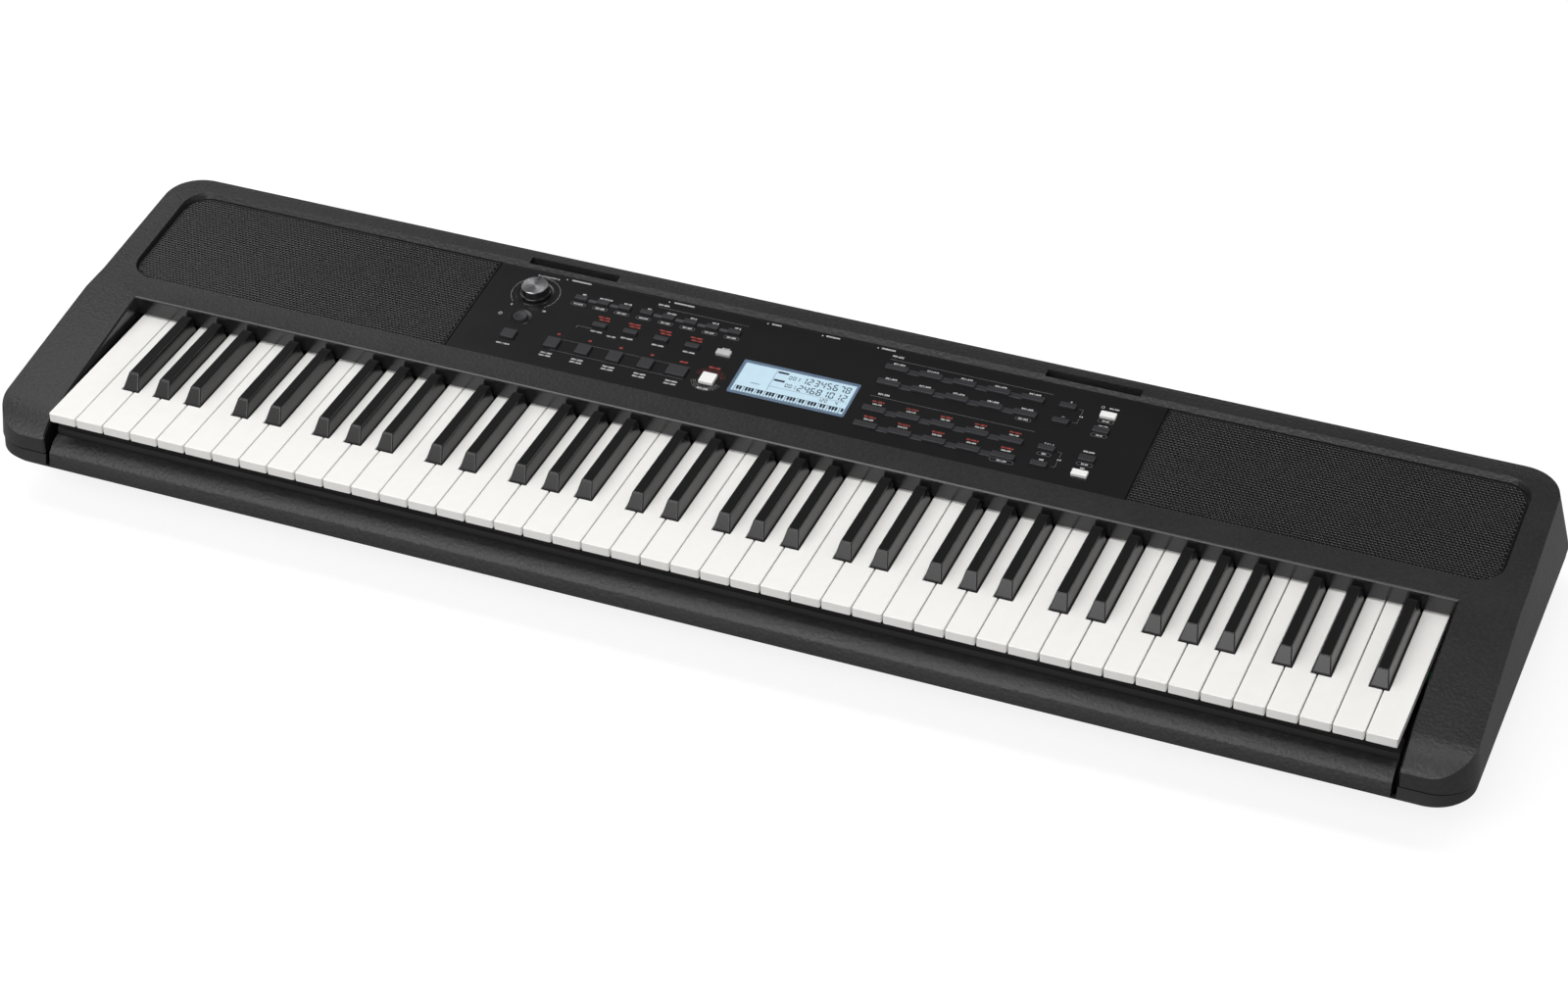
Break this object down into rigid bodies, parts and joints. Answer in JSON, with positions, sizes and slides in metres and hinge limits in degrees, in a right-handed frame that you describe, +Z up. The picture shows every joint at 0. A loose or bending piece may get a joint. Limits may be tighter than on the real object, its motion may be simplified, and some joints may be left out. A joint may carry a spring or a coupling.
{
  "type": "arranger keyboard",
  "caption": "Portable arranger keyboard: charcoal case, long row of sprung piano keys, control panel with display and buttons between two speaker grilles.",
  "frame": {"origin": "centre of the bounding box in plan, at the bottom of the feet", "axes": "+X from the bass keys to the treble keys, +Y from the player to the rear wall, +Z up"},
  "size_m": [1.167, 0.364, 0.1212],
  "materials": {
    "case_plastic": "fine grained, charcoal",
    "panel_plastic": "satin, near black",
    "grille_metal": "perforated, satin black",
    "white_key_plastic": "glossy white",
    "black_key_plastic": "satin black",
    "button_plastic": "matte dark grey",
    "white_button_plastic": "matte white",
    "grey_button_plastic": "matte light grey",
    "knob_metal": "spun, with a fine turned grain",
    "display_lens_plastic": "clear cover over a pale blue screen",
    "display_module_plastic": "smooth",
    "chassis_plastic": "moulded",
    "circuit_board": "green solder mask",
    "rubber": "matte black",
    "felt": "soft red felt",
    "sheet_steel": "plated, smooth",
    "speaker_paper": "pressed paper, dull",
    "socket_plastic": "moulded black"
  },
  "bodies": {
    "keyboard_case": {"aux_jack": "socket_plastic", "battery_contact_left": "sheet_steel", "battery_contact_right": "sheet_steel", "bottom_case": "case_plastic", "control_panel": "panel_plastic", "dc_inlet": "socket_plastic", "display_lens": "display_lens_plastic", "display_module": "display_module_plastic", "foot_front_left": "rubber", "foot_front_right": "rubber", "foot_rear_left": "rubber", "foot_rear_right": "rubber", "front_rail": "case_plastic", "grille_left": "grille_metal", "grille_right": "grille_metal", "headphone_jack": "socket_plastic", "jack_board": "circuit_board", "key_chassis": "chassis_plastic", "key_contact_board": "circuit_board", "key_rubber_strip": "rubber", "key_stop_felt": "felt", "main_board": "circuit_board", "panel_board": "circuit_board", "speaker_basket_left": "sheet_steel", "speaker_basket_right": "sheet_steel", "speaker_cone_left": "speaker_paper", "speaker_cone_right": "speaker_paper", "sustain_jack": "socket_plastic", "top_case": "case_plastic", "usb_port": "sheet_steel", "volume_pot": "sheet_steel"},
    "white_keys_4": {"white_keys_4": "white_key_plastic"},
    "black_keys_4": {"black_keys_4": "black_key_plastic"},
    "volume_knob": {"volume_knob": "knob_metal"},
    "battery_door": {"battery_door": "case_plastic"},
    "power_button": {"power_button": "button_plastic"},
    "mode_button": {"mode_button": "white_button_plastic"},
    "transport_buttons": {"transport_buttons": "button_plastic"},
    "voice_buttons_upper": {"voice_buttons_upper": "button_plastic"},
    "value_buttons": {"value_buttons": "button_plastic"},
    "menu_buttons": {"menu_buttons": "white_button_plastic"},
    "record_buttons": {"record_buttons": "button_plastic"},
    "accent_button": {"accent_button": "button_plastic"},
    "tempo_button": {"tempo_button": "grey_button_plastic"},
    "lesson_buttons": {"lesson_buttons": "button_plastic"},
    "voice_buttons_lower": {"voice_buttons_lower": "button_plastic"},
    "style_buttons_upper": {"style_buttons_upper": "button_plastic"},
    "style_buttons_lower": {"style_buttons_lower": "button_plastic"},
    "white_keys_1": {"white_keys_1": "white_key_plastic"},
    "black_keys_1": {"black_keys_1": "black_key_plastic"},
    "white_keys_7": {"white_keys_7": "white_key_plastic"},
    "black_keys_7": {"black_keys_7": "black_key_plastic"},
    "white_keys_2": {"white_keys_2": "white_key_plastic"},
    "black_keys_2": {"black_keys_2": "black_key_plastic"},
    "white_keys_3": {"white_keys_3": "white_key_plastic"},
    "black_keys_3": {"black_keys_3": "black_key_plastic"},
    "white_keys_5": {"white_keys_5": "white_key_plastic"},
    "black_keys_5": {"black_keys_5": "black_key_plastic"},
    "white_keys_6": {"white_keys_6": "white_key_plastic"},
    "black_keys_6": {"black_keys_6": "black_key_plastic"}
  },
  "joints": [
    {"name": "white_keys_4_press", "type": "hinge", "parent": "keyboard_case", "child": "white_keys_4", "pos_m": [0, 0.021, 0.08455], "axis": [1, 0, 0], "range_deg": [0, 2.93], "stiffness_Nm_per_rad": 2, "springref_deg": -17.19},
    {"name": "black_keys_4_press", "type": "hinge", "parent": "keyboard_case", "child": "black_keys_4", "pos_m": [0.00052, 0.007, 0.082], "axis": [1, 0, 0], "range_deg": [0, 3.4], "stiffness_Nm_per_rad": 1.5, "springref_deg": -17.19},
    {"name": "volume_knob_turn", "type": "hinge", "parent": "keyboard_case", "child": "volume_knob", "pos_m": [-0.2355, 0.08244, 0.1123], "axis": [0, -0.1087, 0.9941], "range_deg": [-150, 150]},
    {"name": "battery_door_slide", "type": "slide", "parent": "keyboard_case", "child": "battery_door", "axis": [0, 1, 0], "range_m": [0, 0.01]},
    {"name": "power_button_press", "type": "slide", "parent": "keyboard_case", "child": "power_button", "axis": [0, 0.1087, -0.9941], "range_m": [0, 0.0012], "stiffness_N_per_m": 400, "springref_m": -0.0012},
    {"name": "mode_button_press", "type": "slide", "parent": "keyboard_case", "child": "mode_button", "axis": [0, 0.1087, -0.9941], "range_m": [0, 0.0012], "stiffness_N_per_m": 400, "springref_m": -0.0012},
    {"name": "transport_buttons_press", "type": "slide", "parent": "keyboard_case", "child": "transport_buttons", "axis": [0, 0.1087, -0.9941], "range_m": [0, 0.0012], "stiffness_N_per_m": 400, "springref_m": -0.0012},
    {"name": "voice_buttons_upper_press", "type": "slide", "parent": "keyboard_case", "child": "voice_buttons_upper", "axis": [0, 0.1087, -0.9941], "range_m": [0, 0.0012], "stiffness_N_per_m": 400, "springref_m": -0.0012},
    {"name": "value_buttons_press", "type": "slide", "parent": "keyboard_case", "child": "value_buttons", "axis": [0, 0.1087, -0.9941], "range_m": [0, 0.0012], "stiffness_N_per_m": 400, "springref_m": -0.0012},
    {"name": "menu_buttons_press", "type": "slide", "parent": "keyboard_case", "child": "menu_buttons", "axis": [0, 0.1087, -0.9941], "range_m": [0, 0.0012], "stiffness_N_per_m": 400, "springref_m": -0.0012},
    {"name": "record_buttons_press", "type": "slide", "parent": "keyboard_case", "child": "record_buttons", "axis": [0, 0.1087, -0.9941], "range_m": [0, 0.0012], "stiffness_N_per_m": 400, "springref_m": -0.0012},
    {"name": "accent_button_press", "type": "slide", "parent": "keyboard_case", "child": "accent_button", "axis": [0, 0.1087, -0.9941], "range_m": [0, 0.0012], "stiffness_N_per_m": 400, "springref_m": -0.0012},
    {"name": "tempo_button_press", "type": "slide", "parent": "keyboard_case", "child": "tempo_button", "axis": [0, 0.1087, -0.9941], "range_m": [0, 0.0012], "stiffness_N_per_m": 400, "springref_m": -0.0012},
    {"name": "lesson_buttons_press", "type": "slide", "parent": "keyboard_case", "child": "lesson_buttons", "axis": [0, 0.1087, -0.9941], "range_m": [0, 0.0012], "stiffness_N_per_m": 400, "springref_m": -0.0012},
    {"name": "voice_buttons_lower_press", "type": "slide", "parent": "keyboard_case", "child": "voice_buttons_lower", "axis": [0, 0.1087, -0.9941], "range_m": [0, 0.0012], "stiffness_N_per_m": 400, "springref_m": -0.0012},
    {"name": "style_buttons_upper_press", "type": "slide", "parent": "keyboard_case", "child": "style_buttons_upper", "axis": [0, 0.1087, -0.9941], "range_m": [0, 0.0012], "stiffness_N_per_m": 400, "springref_m": -0.0012},
    {"name": "style_buttons_lower_press", "type": "slide", "parent": "keyboard_case", "child": "style_buttons_lower", "axis": [0, 0.1087, -0.9941], "range_m": [0, 0.0012], "stiffness_N_per_m": 400, "springref_m": -0.0012},
    {"name": "white_keys_1_press", "type": "hinge", "parent": "keyboard_case", "child": "white_keys_1", "pos_m": [-0.47, 0.021, 0.08455], "axis": [1, 0, 0], "range_deg": [0, 2.93], "stiffness_Nm_per_rad": 2, "springref_deg": -17.19},
    {"name": "black_keys_1_press", "type": "hinge", "parent": "keyboard_case", "child": "black_keys_1", "pos_m": [-0.45825, 0.007, 0.082], "axis": [1, 0, 0], "range_deg": [0, 3.4], "stiffness_Nm_per_rad": 1.5, "springref_deg": -17.19},
    {"name": "white_keys_7_press", "type": "hinge", "parent": "keyboard_case", "child": "white_keys_7", "pos_m": [0.47, 0.021, 0.08455], "axis": [1, 0, 0], "range_deg": [0, 2.93], "stiffness_Nm_per_rad": 2, "springref_deg": -17.19},
    {"name": "black_keys_7_press", "type": "hinge", "parent": "keyboard_case", "child": "black_keys_7", "pos_m": [0.46712, 0.007, 0.082], "axis": [1, 0, 0], "range_deg": [0, 3.4], "stiffness_Nm_per_rad": 1.5, "springref_deg": -17.19},
    {"name": "white_keys_2_press", "type": "hinge", "parent": "keyboard_case", "child": "white_keys_2", "pos_m": [-0.329, 0.021, 0.08455], "axis": [1, 0, 0], "range_deg": [0, 2.93], "stiffness_Nm_per_rad": 2, "springref_deg": -17.19},
    {"name": "black_keys_2_press", "type": "hinge", "parent": "keyboard_case", "child": "black_keys_2", "pos_m": [-0.32847, 0.007, 0.082], "axis": [1, 0, 0], "range_deg": [0, 3.4], "stiffness_Nm_per_rad": 1.5, "springref_deg": -17.19},
    {"name": "white_keys_3_press", "type": "hinge", "parent": "keyboard_case", "child": "white_keys_3", "pos_m": [-0.1645, 0.021, 0.08455], "axis": [1, 0, 0], "range_deg": [0, 2.93], "stiffness_Nm_per_rad": 2, "springref_deg": -17.19},
    {"name": "black_keys_3_press", "type": "hinge", "parent": "keyboard_case", "child": "black_keys_3", "pos_m": [-0.16398, 0.007, 0.082], "axis": [1, 0, 0], "range_deg": [0, 3.4], "stiffness_Nm_per_rad": 1.5, "springref_deg": -17.19},
    {"name": "white_keys_5_press", "type": "hinge", "parent": "keyboard_case", "child": "white_keys_5", "pos_m": [0.1645, 0.021, 0.08455], "axis": [1, 0, 0], "range_deg": [0, 2.93], "stiffness_Nm_per_rad": 2, "springref_deg": -17.19},
    {"name": "black_keys_5_press", "type": "hinge", "parent": "keyboard_case", "child": "black_keys_5", "pos_m": [0.16502, 0.007, 0.082], "axis": [1, 0, 0], "range_deg": [0, 3.4], "stiffness_Nm_per_rad": 1.5, "springref_deg": -17.19},
    {"name": "white_keys_6_press", "type": "hinge", "parent": "keyboard_case", "child": "white_keys_6", "pos_m": [0.329, 0.021, 0.08455], "axis": [1, 0, 0], "range_deg": [0, 2.93], "stiffness_Nm_per_rad": 2, "springref_deg": -17.19},
    {"name": "black_keys_6_press", "type": "hinge", "parent": "keyboard_case", "child": "black_keys_6", "pos_m": [0.32952, 0.007, 0.082], "axis": [1, 0, 0], "range_deg": [0, 3.4], "stiffness_Nm_per_rad": 1.5, "springref_deg": -17.19}
  ]
}
